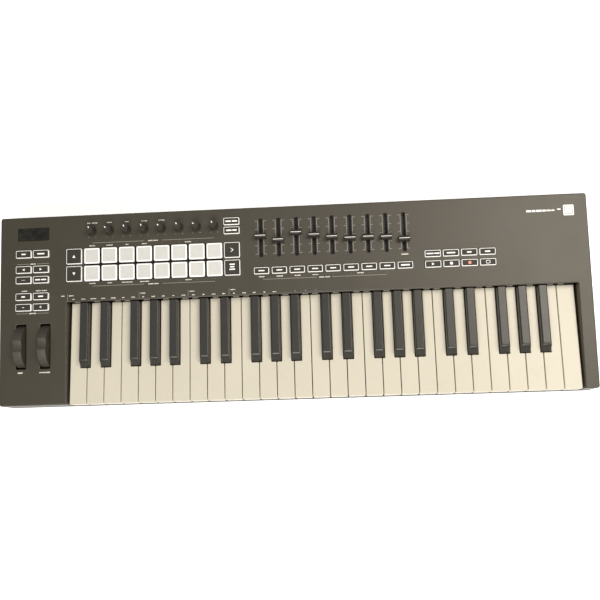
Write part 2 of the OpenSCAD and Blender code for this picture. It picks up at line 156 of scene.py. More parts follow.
class Shape:
    """Points, faces and the material and smoothness of each face."""

    def __init__(self):
        self.points = []
        self.faces = []
        self.mats = []
        self.smooth = []

    def add_points(self, points, place=None):
        first = len(self.points)
        for p in points:
            v = Vector(p)
            self.points.append(place @ v if place else v)
        return list(range(first, first + len(points)))

    def face(self, indices, mat=0, smooth=False):
        self.faces.append(indices)
        self.mats.append(mat)
        self.smooth.append(smooth)

    def bridge(self, lower, upper, mat=0):
        count = len(lower)
        for i in range(count):
            j = (i + 1) % count
            self.face([lower[i], lower[j], upper[j], upper[i]], mat, True)

    def loft(self, rings, place=None, mats=None, caps=(0, 0)):
        """Joins rings of equal length, each turning anticlockwise seen from the last one's side."""
        loops = [self.add_points(r, place) for r in rings]
        for i in range(len(loops) - 1):
            self.bridge(loops[i], loops[i + 1], mats[i] if mats else 0)
        self.face(loops[0][::-1], caps[0])
        self.face(loops[-1], caps[1])

    def block(self, points, profile, place=None, mats=None, caps=(0, 0), steps=4):
        """An outline lofted through a profile of (inset, height)."""
        self.loft([at_height(outline(points, inset, steps), z) for inset, z in profile], place, mats, caps)

    def bar(self, x, y, w, d, low, high, r, place=None, mat=0, turn=0.0):
        """A small solid with rounded corners, such as a printed mark."""
        spot = Matrix.Translation((x, y, 0)) @ Matrix.Rotation(turn, 4, "Z")
        place = place @ spot if place else spot
        self.block(box_points(w, d, r), [(0, low), (0, high)], place, [mat], (mat, mat), 3)

    def fill(self, loops, up, mat=0):
        """Fills between an outer loop and the loops of its holes, facing up or down."""
        plan = [[Vector((self.points[i].x, self.points[i].y, 0)) for i in loop] for loop in loops]
        index = [i for loop in loops for i in loop]
        for tri in tessellate_polygon(plan):
            a, b, c = (self.points[index[k]] for k in tri)
            rises = (b - a).cross(c - a).z > 0
            order = tri if rises == up else tri[::-1]
            self.face([index[k] for k in order], mat)

    def plate(self, outer, inner, low, high, place, mat=0):
        """A flat piece with holes: an anticlockwise outline, the outlines of its holes, two heights."""
        flat = Shape()
        loops = {z: [flat.add_points(at_height(ring, z)) for ring in [outer, *inner]]
                 for z in (low, high)}
        flat.bridge(loops[low][0], loops[high][0], mat)
        for lower, upper in zip(loops[low][1:], loops[high][1:]):
            flat.bridge(upper, lower, mat)
        flat.fill(loops[low], False, mat)
        flat.fill(loops[high], True, mat)
        self.take(flat, place)

    def take(self, other, place):
        """Adds another shape to this one."""
        index = self.add_points(other.points, place)
        for face, mat, smooth in zip(other.faces, other.mats, other.smooth):
            self.face([index[i] for i in face], mat, smooth)

    def disc(self, x, y, radius, low, high, place, mat):
        ring = circle(radius, 24, x, y)
        self.loft([at_height(ring, z) for z in (low, high)], place, [mat], (mat, mat))


SHARP_FROM = 40.0


def solid(name, shape, materials, body, replaces=()):
    """Turns a shape into a piece that rides on a body."""
    mesh = bpy.data.meshes.new(name)
    mesh.from_pydata([tuple(p * MM) for p in shape.points], [], shape.faces)
    for m in materials:
        mesh.materials.append(m)
    mesh.polygons.foreach_set("material_index", shape.mats)
    mesh.validate()
    mesh.set_sharp_from_angle(angle=math.radians(SHARP_FROM))
    # Last, because the call above makes every face smooth
    mesh.polygons.foreach_set("use_smooth", shape.smooth)
    mesh.update()
    piece = bpy.data.objects.new(name, mesh)
    bpy.context.scene.collection.objects.link(piece)
    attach(piece, body)
    if replaces:
        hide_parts(*replaces)


# ---------------------------------------------------------------- materials

def new_material(name):
    mat = bpy.data.materials.new(name)
    mat.use_nodes = True
    nodes = mat.node_tree.nodes
    return mat, nodes, mat.node_tree.links, nodes["Principled BSDF"]


def grain(nodes, links, scale, detail):
    coords = nodes.new("ShaderNodeTexCoord")
    noise = nodes.new("ShaderNodeTexNoise")
    noise.inputs["Scale"].default_value = scale
    noise.inputs["Detail"].default_value = detail
    noise.inputs["Roughness"].default_value = 0.6
    links.new(coords.outputs["Object"], noise.inputs["Vector"])
    return noise


def spread_colour(nodes, links, factor, low, high, start=0.35, end=0.65):
    ramp = nodes.new("ShaderNodeValToRGB")
    ramp.color_ramp.elements[0].position = start
    ramp.color_ramp.elements[1].position = end
    ramp.color_ramp.elements[0].color = (*low, 1)
    ramp.color_ramp.elements[1].color = (*high, 1)
    links.new(factor, ramp.inputs["Fac"])
    return ramp


def moulded(name, colour, roughness=0.5, vary=0.06, grain_size=0.35, bump=0.12, mottle=18.0,
            rough_vary=0.06, sheen=0.0, subsurface=0.0, specular=0.5):
    """Moulded plastic or rubber: a fine grain, slow colour mottling and uneven gloss.

    grain_size is the size of the grain in millimetres, mottle the size of the slow variation.
    """
    mat, nodes, links, shader = new_material(name)
    slow = grain(nodes, links, 1 / (mottle * MM), 5.0)
    low = tuple(c * (1 - vary) for c in colour)
    high = tuple(min(1.0, c * (1 + vary)) for c in colour)
    ramp = spread_colour(nodes, links, slow.outputs["Fac"], low, high)
    links.new(ramp.outputs["Color"], shader.inputs["Base Color"])
    fine = grain(nodes, links, 1 / (grain_size * MM), 2.0)
    gloss = nodes.new("ShaderNodeMapRange")
    gloss.inputs["To Min"].default_value = roughness - rough_vary
    gloss.inputs["To Max"].default_value = roughness + rough_vary
    links.new(slow.outputs["Fac"], gloss.inputs["Value"])
    links.new(gloss.outputs["Result"], shader.inputs["Roughness"])
    relief = nodes.new("ShaderNodeBump")
    relief.inputs["Strength"].default_value = bump
    relief.inputs["Distance"].default_value = 0.06 * MM
    links.new(fine.outputs["Fac"], relief.inputs["Height"])
    links.new(relief.outputs["Normal"], shader.inputs["Normal"])
    shader.inputs["Specular IOR Level"].default_value = specular
    if sheen:
        shader.inputs["Sheen Weight"].default_value = sheen
        shader.inputs["Sheen Roughness"].default_value = 0.5
    if subsurface:
        shader.inputs["Subsurface Weight"].default_value = subsurface
        shader.inputs["Subsurface Radius"].default_value = (0.004, 0.0035, 0.003)
        shader.inputs["Subsurface Scale"].default_value = 0.5
    return mat


SCRATCHES = (60, 2500, 2500)  # for each axis: few along X, many across it


def brushed(name, colour):
    """Drawn or brushed metal with fine scratches along X."""
    mat, nodes, links, shader = new_material(name)
    coords = nodes.new("ShaderNodeTexCoord")
    stretch = nodes.new("ShaderNodeMapping")
    stretch.inputs["Scale"].default_value = SCRATCHES
    noise = nodes.new("ShaderNodeTexNoise")
    noise.inputs["Scale"].default_value = 1.0
    noise.inputs["Detail"].default_value = 3.0
    links.new(coords.outputs["Object"], stretch.inputs["Vector"])
    links.new(stretch.outputs["Vector"], noise.inputs["Vector"])
    ramp = spread_colour(nodes, links, noise.outputs["Fac"], tuple(c * 0.8 for c in colour),
                         tuple(min(1.0, c * 1.15) for c in colour), 0.3, 0.7)
    links.new(ramp.outputs["Color"], shader.inputs["Base Color"])
    relief = nodes.new("ShaderNodeBump")
    relief.inputs["Strength"].default_value = 0.15
    relief.inputs["Distance"].default_value = 0.02 * MM
    links.new(noise.outputs["Fac"], relief.inputs["Height"])
    links.new(relief.outputs["Normal"], shader.inputs["Normal"])
    shader.inputs["Metallic"].default_value = 1.0
    shader.inputs["Roughness"].default_value = 0.35
    return mat


PANEL = moulded("panel_plastic", (0.0370, 0.0305, 0.0175), 0.45, 0.05, 0.32, 0.22, 60, specular=0.62)
CASE_DARK = moulded("case_dark", (0.030, 0.027, 0.021), 0.55, 0.07, 0.4, 0.3, 40, specular=0.4)
KEY_WHITE = moulded("key_ivory", (0.545, 0.512, 0.420), 0.28, 0.018, 1.2, 0.03, 55, 0.03, specular=0.25)
KEY_BLACK = moulded("key_charcoal", (0.026, 0.024, 0.020), 0.32, 0.08, 0.4, 0.08, 30, 0.05, specular=0.45)
# Light silicone for the pads' rims, walls and hidden web, painted much brighter than the pad faces: painted
# highlight on the raised rims
PAD_RIM_PAINTED_HIGHLIGHT = moulded("pad_rim_painted_highlight", (0.95, 0.95, 0.92), 0.5, 0.015, 0.3, 0.05, 12, 0.04, subsurface=0.2)
PAD_FACE = moulded("pad_face", (0.565, 0.565, 0.54), 0.55, 0.02, 0.25, 0.08, 9, 0.04, subsurface=0.15)
RUBBER_LIGHT = moulded("rubber_light", (0.95, 0.94, 0.90), 0.55, 0.03, 0.3, 0.05, 8, 0.04, subsurface=0.1)
RUBBER_DARK = moulded("rubber_dark", (0.030, 0.027, 0.021), 0.6, 0.08, 0.25, 0.15, 10, 0.05, specular=0.35)
PRINT = moulded("print_light", (0.70, 0.68, 0.61), 0.6, 0.05, 0.15, 0.04, 3, 0.04)
PRINT_DIM = moulded("print_dim", (0.33, 0.31, 0.265), 0.6, 0.08, 0.15, 0.04, 3, 0.04)
# Near black: painted shade in the gaps round and between the pads, and partly a black frame between them
GAP_SHADE_AND_DARK_PRINT = moulded("print_dark", (0.005, 0.005, 0.004), 0.8, 0.1, 0.2, 0.05, 5, 0.04, specular=0.1)
MARK = moulded("mark_white", (0.92, 0.91, 0.87), 0.5, 0.02, 0.15, 0.03, 3, 0.03)
MARK_RED = moulded("mark_red", (0.86, 0.24, 0.20), 0.5, 0.05, 0.15, 0.03, 3, 0.03)
KNOB = moulded("knob_soft", (0.032, 0.028, 0.021), 0.5, 0.08, 0.2, 0.12, 6, 0.05, specular=0.35)
FADER = moulded("fader_cap", (0.022, 0.020, 0.017), 0.42, 0.08, 0.2, 0.10, 6, 0.05, specular=0.4)
WHEEL = moulded("wheel_soft", (0.050, 0.044, 0.034), 0.5, 0.07, 0.25, 0.18, 10, 0.05, specular=0.4)
WINDOW = moulded("window_gloss", (0.010, 0.009, 0.006), 0.10, 0.75, 0.5, 0.01, 8, 0.04, specular=0.25)
FOOT = moulded("foot_rubber", (0.018, 0.018, 0.017), 0.75, 0.12, 0.3, 0.3, 5)
BLACK_PLASTIC = moulded("socket_black", (0.014, 0.014, 0.014), 0.4, 0.1, 0.3, 0.1, 6)
STEEL = brushed("steel", (0.55, 0.55, 0.56))
BOARD = moulded("circuit_board", (0.03, 0.12, 0.05), 0.4, 0.15, 1.0, 0.1, 4)
FELT = moulded("felt", (0.20, 0.03, 0.04), 0.95, 0.2, 0.2, 0.8, 2, 0.02, sheen=0.5)
CHASSIS = moulded("chassis_paint", (0.012, 0.012, 0.013), 0.6, 0.1, 0.5, 0.2, 20)

# CAD nodes that stay as they are and only get a better material
for node, mat in {
        "key_chassis": CHASSIS, "key_pivot_rod": STEEL, "key_springs": STEEL,
        "key_contact_board": BOARD, "contact_domes": RUBBER_DARK, "key_felts": FELT,
        "main_board": BOARD, "control_board": BOARD, "slide_pots": BLACK_PLASTIC, "rotary_pots": STEEL,
        "wheel_bracket": STEEL, "display_module": WINDOW, "case_screws": STEEL}.items():
    thing = frame["nodes"][node]
    thing.data.materials.clear()
    thing.data.materials.append(mat)


# ---------------------------------------------------------------- the case

BAY_LEFT = KEY_LEFT - 2 + BODY_W / 2
BAY_RIGHT = KEY_LEFT + WHITE_COUNT * WHITE_PITCH + 2 + BODY_W / 2
BAY_REAR = 120.0
SPLIT_DROP = CASE_HIGH.z - corners("bottom_shell")[1].z
BUTTON_GAP = 0.4
KNOB_HOLE = 7.2

# The posts inside the top shell that the case screws go up into
POSTS = [(7.5, 6.5), (170, 6.5), (340, 6.5), (510, 6.5), (680, 6.5), (BODY_W - 7.5, 6.5), (7.5, 138),
         (BODY_W - 7.5, 138), (7.5, BODY_D - 8), (80, BODY_D - 8), (BODY_W - 7.5, BODY_D - 8)]
POST_R, POST_BORE, POST_END, POST_BORE_TOP = 3.0, 1.5, 5.6, 32.0


def rows_of(node, count, margin):
    """Middles of equal pieces along X inside a node's box, as panel x."""
    low, high = corners(node)
    first, last = low.x + margin + BODY_W / 2, high.x - margin + BODY_W / 2
    return [first + (last - first) * i / (count - 1) for i in range(count)]


PAD_SIZE = 21.4
PAD_RISE = 2.6
BUTTON_RISE = 2.5
PAD_X = rows_of("pads_upper", 8, 11.7)
PAD_SHIFT = 0.37  # the panel leans, so the middle of a row's box lies behind that of its pads
PAD_Y = [middle("pads_upper")[1] + PAD_SHIFT, middle("pads_lower")[1] + PAD_SHIFT]
FADER_X = [middle(f"fader_{i}")[0] for i in range(1, 10)]
FADER_SLOT = (4.8, 53.0)
FADER_Y = 42.2
LEVER_END = -7.5  # above the floor of the slide potentiometer
LEFT_X = [middle("left_buttons")[0] - 12.1, middle("left_buttons")[0] + 12.1]
LEFT_Y = [52.0, 73.4, 87.8, 110.7, 125.4]
SIDE_X = [middle("bank_buttons")[0], middle("launch_buttons")[0]]
DEVICE_Y = [18.2, 30.7]
FADER_BUTTON_Y = 87.7
TRANSPORT_X = [590.4 + i * GRID for i in range(4)]
TRANSPORT_Y = [73.85, 88.0]
WHEEL_AT = [middle("pitch_wheel")[0], middle("mod_wheel")[0]]
WHEEL_Y = 178.65
WHEEL_SLOT = (13.8, 60.5)
WINDOW_AT = middle("display_window")
WINDOW_SIZE = (43.6, 17.3)

# Every button: its node, place on the panel, size, and what is drawn on it
BUTTONS = []
for row, y in enumerate(LEFT_Y):
    for col, x in enumerate(LEFT_X):
        BUTTONS.append(("left_buttons", x, y, 21.6, 9.9 if row else 10.5, f"left_{row}_{col}"))
for row, y in enumerate(PAD_Y):
    BUTTONS.append(("bank_buttons", SIDE_X[0], y, 21.3, 21.1, f"bank_{row}"))
    BUTTONS.append(("launch_buttons", SIDE_X[1], y, 21.3, 21.1, f"launch_{row}"))
for row, y in enumerate(DEVICE_Y):
    BUTTONS.append(("device_buttons", SIDE_X[1], y, 21.6, 9.9, f"device_{row}"))
for i, x in enumerate(FADER_X):
    BUTTONS.append(("fader_buttons", x, FADER_BUTTON_Y, 20.3, 9.1, f"fader_{i}"))
for i, x in enumerate(TRANSPORT_X):
    BUTTONS.append(("transport_upper", x, TRANSPORT_Y[0], 21.1, 9.1, f"upper_{i}"))
    BUTTONS.append(("transport_lower", x, TRANSPORT_Y[1], 21.1, 9.1, f"lower_{i}"))


def case_outline(r=3.5):
    """The case seen from above, anticlockwise, in frame millimetres with the origin at the middle."""
    w, d = BODY_W / 2, BODY_D / 2
    points = [(w, -d, r), (w, d, r), (-w, d, r), (-w, -d, r)]
    left, right, rear = BAY_LEFT - w, BAY_RIGHT - w, d - BAY_REAR
    return points + [(left, -d, 0.8), (left, rear, 0.6), (right, rear, 0.6), (right, -d, 0.8)]


def holes():
    """Outlines of every hole in the panel as (corner points, edge radius)."""
    d = BODY_D / 2
    w = BODY_W / 2
    cut = []
    for y in PAD_Y:
        for x in PAD_X:
            size = PAD_SIZE + 2 * BUTTON_GAP
            cut.append((box_points(size, size, 1.6, x - w, d - y), 0.35))
    for _, x, y, bw, bd, _ in BUTTONS:
        cut.append((box_points(bw + 2 * BUTTON_GAP, bd + 2 * BUTTON_GAP, 1.4, x - w, d - y), 0.3))
    for x in FADER_X:
        cut.append((box_points(*FADER_SLOT, 1.2, x - w, d - FADER_Y), 0.35))
    for x in WHEEL_AT:
        cut.append((box_points(*WHEEL_SLOT, 1.2, x - w, d - WHEEL_Y), 0.9))
    for x in KNOB_X:
        cut.append((box_points(KNOB_HOLE, KNOB_HOLE, 3.5, x - w, d - KNOB_Y), 0.3))
    x, y = WINDOW_AT
    cut.append((box_points(WINDOW_SIZE[0] + 0.4, WINDOW_SIZE[1] + 0.4, 1.0, x - w, d - y), 0.3))
    return cut


def make_top_shell():
    shape = Shape()
    edge, steps = 1.6, 6
    outer = case_outline()
    half, rear = BODY_W / 2, BODY_D / 2 - BAY_REAR

    # From the flat face over the rounded edge, down the wall, round its lower rim and up inside
    profile = list(reversed(round_over(edge, 0.0, 6)))
    long_wall = [(0.0, -SPLIT_DROP + 0.5), (0.3, -SPLIT_DROP), (WALL - 0.2, -SPLIT_DROP), (WALL, -WALL)]
    # Behind the keys the panel has no wall, so that the black keys pass under it
    short_wall = [(0.0, -WALL + 0.4), (0.3, -WALL), (1.0, -WALL), (WALL, -WALL)]

    rings = []
    for (inset, height), (_, short) in zip(profile + long_wall, profile + short_wall):
        ring = []
        for x, y in outline(outer, inset, steps):
            behind_keys = abs(y - rear) < 0.5 + inset and BAY_LEFT - half - 0.3 < x < BAY_RIGHT - half + 0.3
            ring.append((x, y, panel_z(BODY_D / 2 - y) + (short if behind_keys else height)))
        rings.append(shape.add_points(ring))
    for upper, lower in zip(rings, rings[1:]):
        shape.bridge(lower, upper)
    top_loops, under_loops = [rings[0]], [rings[-1]]
    for points, radius in holes():
        hole_rings = []
        for inset, height in list(reversed(round_over(radius, 0.0, 3))) + [(0.0, -WALL)]:
            ring = [(x, y, panel_z(BODY_D / 2 - y) + height) for x, y in outline(points, -inset, 3)]
            hole_rings.append(shape.add_points(ring))
        for upper, lower in zip(hole_rings, hole_rings[1:]):
            shape.bridge(upper, lower)
        top_loops.append(hole_rings[0])
        under_loops.append(hole_rings[-1])
    shape.fill(top_loops, True)
    shape.fill(under_loops, False)
    for x, y in POSTS:
        place = Matrix.Translation((x - half, BODY_D / 2 - y, 0))
        rings = [(POST_BORE, POST_BORE_TOP), (POST_BORE, POST_END), (POST_R, POST_END),
                 (POST_R, panel_z(y) - WALL / 2)]
        shape.loft([at_height(circle(r, 32), z) for r, z in rings], place)
    solid("case_top", shape, [PANEL], "case", ["top_shell"])


def softened(node, mat, width, segments=2):
    """A piece in a CAD node's shape, with its edges rounded."""
    mesh = frame["nodes"][node].data.copy()
    for name in [a.name for a in mesh.attributes if a.name.startswith("custom_normal")]:
        mesh.attributes.remove(mesh.attributes[name])
    mesh.materials.clear()
    mesh.materials.append(mat)
    piece = bpy.data.objects.new(node + "_piece", mesh)
    bpy.context.scene.collection.objects.link(piece)
    weld = piece.modifiers.new("weld", "WELD")
    weld.merge_threshold = 0.002 * MM
    flat = piece.modifiers.new("flat", "DECIMATE")
    flat.decimate_type = "DISSOLVE"
    flat.angle_limit = math.radians(0.6)
    edge = piece.modifiers.new("edge", "BEVEL")
    edge.width = width * MM
    edge.segments = segments
    edge.limit_method = "ANGLE"
    edge.angle_limit = math.radians(40)
    edge.harden_normals = True
    mesh.polygons.foreach_set("use_smooth", [True] * len(mesh.polygons))
    mesh.set_sharp_from_angle(angle=math.radians(35))
    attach(piece, "case")
    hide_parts(node)


make_top_shell()
softened("bottom_shell", CASE_DARK, 0.6)
softened("rubber_feet", FOOT, 0.8, 3)
softened("usb_socket", STEEL, 0.2)
softened("midi_socket", BLACK_PLASTIC, 0.25)
softened("pedal_jack", BLACK_PLASTIC, 0.3)


# ---------------------------------------------------------------- the display window

def make_window():
    shape = Shape()
    x, y = WINDOW_AT
    place = panel_place(x, y)
    points = box_points(*WINDOW_SIZE, 0.8)
    shape.block(points, [(0.0, -1.2)] + round_over(0.25, 0.1, 3), place)
    solid("window_pane", shape, [WINDOW], "case", ["display_window"])


make_window()


# ---------------------------------------------------------------- keys

FRONT_Y = -BODY_D / 2
BLACK_FRONT = BLACK_LOW.y
SHOULDER_Y = BLACK_FRONT - 1
WHITE_REAR = BODY_D / 2 - BAY_REAR + 0.5
BLACK_REAR = BODY_D / 2 - BAY_REAR - 1
BLACK_W = 12.6
NOTCH = BLACK_W / 2 + 0.9
KEY_SKIN = 2.0
BAR_LOW, BAR_HIGH, BAR_HALF = 28.0, 38.0, 4.0
BLACK_BOTTOM = 30.0
PLUNGER_Y = -33
EYE_R = 2.05


def is_black(s):
    return s % 12 in (1, 3, 6, 8, 10)


def whites_below(s):
    return s // 12 * 7 + (0, 1, 1, 2, 2, 3, 4, 4, 5, 5, 6, 6)[s % 12]


def lane_x(s):
    """Middle of a key's lane; all lanes of an octave are nearly equally wide."""
    step = s % 12
    if step < 5:
        offset = (step + 0.5) * WHITE_PITCH * 3 / 5
    else:
        offset = 3 * WHITE_PITCH + (step - 4.5) * WHITE_PITCH * 4 / 7
    return KEY_LEFT + s // 12 * 7 * WHITE_PITCH + offset


def add_bar(shape, s, rear):
    """The bar from the key's rear end back to its eye on the pivot rod."""
    sideways = Matrix(((0, 0, 1, lane_x(s)), (1, 0, 0, 0), (0, 1, 0, 0), (0, 0, 0, 1)))
    bar = [(rear - 1, BAR_LOW, 0.5), (PIVOT.y + 5, BAR_LOW, 4.5), (PIVOT.y + 5, BAR_HIGH, 4.5),
           (rear - 1, BAR_HIGH, 0.5)]
    eye = circle(EYE_R, 20, PIVOT.y, PIVOT.z)
    shape.plate(outline(bar, 0, 5), [eye], -BAR_HALF, BAR_HALF, sideways)


def add_plunger(shape, s, top):
    """The stud under a key that presses its contact."""
    shape.bar(lane_x(s), PLUNGER_Y, 5, 6, WHITE_BOTTOM + 2, top, 0.6)


def make_white_key(s):
    shape = Shape()
    left = KEY_LEFT + whites_below(s) * WHITE_PITCH + KEY_GAP / 2
    right = left + WHITE_PITCH - KEY_GAP
    cut_left = s > 0 and is_black(s - 1)
    cut_right = s < KEY_COUNT - 1 and is_black(s + 1)
    stem_left = lane_x(s - 1) + NOTCH if cut_left else left
    stem_right = lane_x(s + 1) - NOTCH if cut_right else right
    points = [(left, FRONT_Y, 1.6), (right, FRONT_Y, 1.6)]
    if cut_right:
        points += [(right, SHOULDER_Y, 1.0), (stem_right, SHOULDER_Y, 0.6)]
    points += [(stem_right, WHITE_REAR, 0.4), (stem_left, WHITE_REAR, 0.4)]
    if cut_left:
        points += [(stem_left, SHOULDER_Y, 0.6), (left, SHOULDER_Y, 1.0)]
    profile = [(KEY_SKIN, WHITE_TOP - KEY_SKIN), (KEY_SKIN, WHITE_BOTTOM + 0.3),
               (KEY_SKIN - 0.3, WHITE_BOTTOM), (0.4, WHITE_BOTTOM), (0.0, WHITE_BOTTOM + 0.4)]
    profile += round_over(0.75, WHITE_TOP, 4)
    shape.block(points, profile)
    add_plunger(shape, s, WHITE_TOP - 1)
    add_bar(shape, s, WHITE_REAR)
    return shape


def make_black_key(s):
    shape = Shape()
    x = lane_x(s)
    foot = BLACK_W / 2
    top = BLACK_HIGH.z
    # Half width, distance of the front face behind the foot's, height and corner radius
    levels = [(foot - 2, 9.5, WHITE_TOP + 3, 0.5), (foot - 2, 2, BLACK_BOTTOM + 0.3, 0.5),
              (foot - 0.3, 0.3, BLACK_BOTTOM, 1.2), (foot, 0, BLACK_BOTTOM + 0.3, 1.5),
              (foot, 0, WHITE_TOP + 0.8, 1.5), (foot - 0.05, 0.35, WHITE_TOP + 1.5, 1.5),
              (foot - 0.4, 6.6, top - 1.8, 1.5), (foot - 0.55, 7.6, top - 1.0, 1.5),
              (foot - 0.9, 8.5, top - 0.45, 1.5), (foot - 1.35, 9.5, top - 0.12, 1.6),
              (foot - 1.9, 10.8, top, 1.7)]
    rings = []
    for half, back, z, r in levels:
        front = BLACK_FRONT + back
        points = [(x - half, front, r), (x + half, front, r), (x + half, BLACK_REAR, 0.4),
                  (x - half, BLACK_REAR, 0.4)]
        rings.append(at_height(outline(points, 0.0, 5), z))
    shape.loft(rings)
    add_plunger(shape, s, WHITE_TOP + 4)
    add_bar(shape, s, BLACK_REAR)
    return shape


for s in range(KEY_COUNT):
    body = "keys_" + NOTES[s % 12]
    black = is_black(s)
    solid(f"key_{s + 1:02d}", make_black_key(s) if black else make_white_key(s),
          [KEY_BLACK if black else KEY_WHITE], body, [body])


# ---------------------------------------------------------------- pads and buttons

def make_pads(node, y):
    shape = Shape()
    profile = [(0.0, -5.4), (0.0, 0.3), (0.0, PAD_RISE - 1.0), (0.12, PAD_RISE - 0.55), (0.4, PAD_RISE - 0.2),
               (0.8, PAD_RISE), (1.6, PAD_RISE + 0.02), (1.9, PAD_RISE - 0.12), (2.3, PAD_RISE - 0.16)]
    # Band 0 (the pad walls below the panel face) and the undersides take the near-black material: painted
    # shade, so that the gaps round the pads read dark. The walls above it and the raised rim are painted
    # brighter than the face: painted highlight
    mats = [2, 0, 0, 0, 0, 0, 0, 1]
    for x in PAD_X:
        shape.block(box_points(PAD_SIZE, PAD_SIZE, 1.9), profile, panel_place(x, y), mats, (2, 1), 5)
    shape.bar(0, 0, 7 * GRID + 23.4, 23.4, -6, -4.6, 1.0, panel_place(sum(PAD_X) / 8, y))
    solid(node + "_mat", shape, [PAD_RIM_PAINTED_HIGHLIGHT, PAD_FACE, GAP_SHADE_AND_DARK_PRINT], node, [node])


# The thin web that joins a mat's buttons under the panel: middle, then size
WEBS = {
    "left_buttons": (45.5, 88.7, 46, 84),
    "bank_buttons": (SIDE_X[0], 69.75, 22.4, 46),
    "launch_buttons": (SIDE_X[1], 69.75, 22.4, 46),
    "device_buttons": (SIDE_X[1], 24.45, 23, 23),
    "fader_buttons": (FADER_X[4], FADER_BUTTON_Y, 8 * GRID + 22, 11),
    "transport_upper": (TRANSPORT_X[0] + 1.5 * GRID, TRANSPORT_Y[0], 3 * GRID + 23, 11),
    "transport_lower": (TRANSPORT_X[0] + 1.5 * GRID, TRANSPORT_Y[1], 3 * GRID + 23, 11),
}


def make_buttons(node):
    shape = Shape()
    profile = [(0.0, -5.6), (0.0, BUTTON_RISE - 0.4), (0.12, BUTTON_RISE - 0.12), (0.4, BUTTON_RISE),
               (0.8, BUTTON_RISE), (0.86, BUTTON_RISE + 0.06), (1.1, BUTTON_RISE + 0.1)]
    mats = [0, 0, 0, 0, 1, 1]
    for owner, x, y, w, d, _ in BUTTONS:
        if owner == node:
            shape.block(box_points(w, d, 1.3), profile, panel_place(x, y), mats, (0, 1), 5)
    x, y, web_w, web_d = WEBS[node]
    shape.bar(0, 0, web_w, web_d, -6.2, -5.2, 1.0, panel_place(x, y))
    solid(node + "_mat", shape, [RUBBER_LIGHT, RUBBER_DARK], node, [node])


for row, name in enumerate(("pads_upper", "pads_lower")):
    make_pads(name, PAD_Y[row])
BUTTON_NODES = sorted({b[0] for b in BUTTONS})
for name in BUTTON_NODES:
    make_buttons(name)


# ---------------------------------------------------------------- what is drawn on the buttons

PRINT_THICK = 0.06
MARK_SINK = 0.06  # how far a mark goes into the button
ARROW = [(-1.0, -0.9), (1.0, 0.0), (-1.0, 0.9)]


def draw_marks(owner, labels):
    """Thin raised marks on the tops of a node's buttons."""
    shape = Shape()
    top = BUTTON_RISE + 0.08
    low, high = top - MARK_SINK, top + PRINT_THICK
    for node, x, y, _, _, label in BUTTONS:
        if node == owner and label in labels:
            place = panel_place(x, y)
            for kind, mx, my, mw, md, turn, mat in labels[label]:
                if kind == "bar":
                    shape.bar(mx, my, mw, md, low, high, min(mw, md) * 0.35, place, mat, math.radians(turn))
                elif kind == "dot":
                    shape.disc(mx, my, mw / 2, low, high, place, mat)
                elif kind == "arrow":
                    spot = (place @ Matrix.Translation((mx, my, 0))
                            @ Matrix.Rotation(math.radians(turn), 4, "Z"))
                    points = [(px * mw, py * md, 0.15) for px, py in ARROW]
                    shape.block(points, [(0, low), (0, high)], spot, [mat], (mat, mat), 2)
                elif kind == "loop":
                    spot = place @ Matrix.Translation((mx, my, 0))
                    rim = outline(box_points(mw, md, md * 0.3), 0, 4)
                    inner = outline(box_points(mw, md, md * 0.3), 0.65, 4)
                    shape.plate(rim, [inner], low, high, spot, mat)
    if shape.faces:
        solid(owner + "_marks", shape, [MARK, MARK_RED], owner)


def bar(x, y, w, d, turn=0.0, mat=0):
    return ("bar", x, y, w, d, turn, mat)


MARKS = {
    "left_0_0": [bar(0, 0, 6.0, 1.9)],
    "left_0_1": [bar(0, 0, 10.2, 1.9)],
    "left_1_0": [("arrow", 0, 0, 1.6, 1.9, 180, 0)],
    "left_1_1": [("arrow", 0, 0, 1.6, 1.9, 0, 0)],
    "left_2_0": [bar(-1.9, 0, 1.0, 0.7), bar(0, 0, 1.0, 0.7), bar(1.9, 0, 1.0, 0.7)],
    "left_2_1": [bar(-4.2, 0, 7.4, 1.8), bar(4.1, 0, 7.2, 1.8)],
    "left_3_0": [bar(0, 0, 5.2, 1.9)],
    "left_3_1": [bar(0, 0, 7.2, 1.9)],
    "left_4_0": [bar(0, 0, 2.8, 0.8)],
    "left_4_1": [bar(0, 0, 2.8, 0.9), bar(0, 0, 0.9, 2.8)],
    "bank_0": [("arrow", 0, 0, 1.9, 2.3, 90, 0)],
    "bank_1": [("arrow", 0, 0, 1.9, 2.3, 270, 0)],
    "launch_0": [bar(0.1, 1.3, 4.2, 0.8, -38), bar(0.1, -1.3, 4.2, 0.8, 38)],
    "launch_1": [bar(0, 4.4, 7.4, 1.7), bar(0, 1.0, 6.0, 1.7), bar(0, -2.4, 7.8, 1.7)],
    "device_0": [bar(-4.3, 0, 7.4, 2.0), bar(4.3, 0, 7.4, 2.0)],
    "device_1": [bar(-3.6, 0, 7.6, 2.0), bar(4.1, 0, 6.2, 2.0)],
    "upper_0": [bar(-3.6, 0, 9.4, 1.8), bar(5.4, 0, 6.8, 1.8)],
    "upper_1": [bar(0, 0, 11.4, 1.8)],
    "upper_2": [bar(0, 0, 6.2, 1.8)],
    "upper_3": [bar(0, 0, 7.0, 1.8)],
    "lower_0": [("arrow", 0, 0, 1.8, 2.1, 0, 0)],
    "lower_1": [bar(0, 0, 3.8, 3.6)],
    "lower_2": [("dot", 0, 0, 4.3, 0, 0, 1)],
    "lower_3": [("loop", 0, 0, 5.6, 4.4, 0, 0)],
    "fader_8": [bar(0, 0, 12.0, 1.9)],
}
for i in range(8):
    MARKS[f"fader_{i}"] = [bar(0, 0, 8.2, 1.5)]
for name in BUTTON_NODES:
    draw_marks(name, MARKS)


# ---------------------------------------------------------------- knobs, faders and wheels

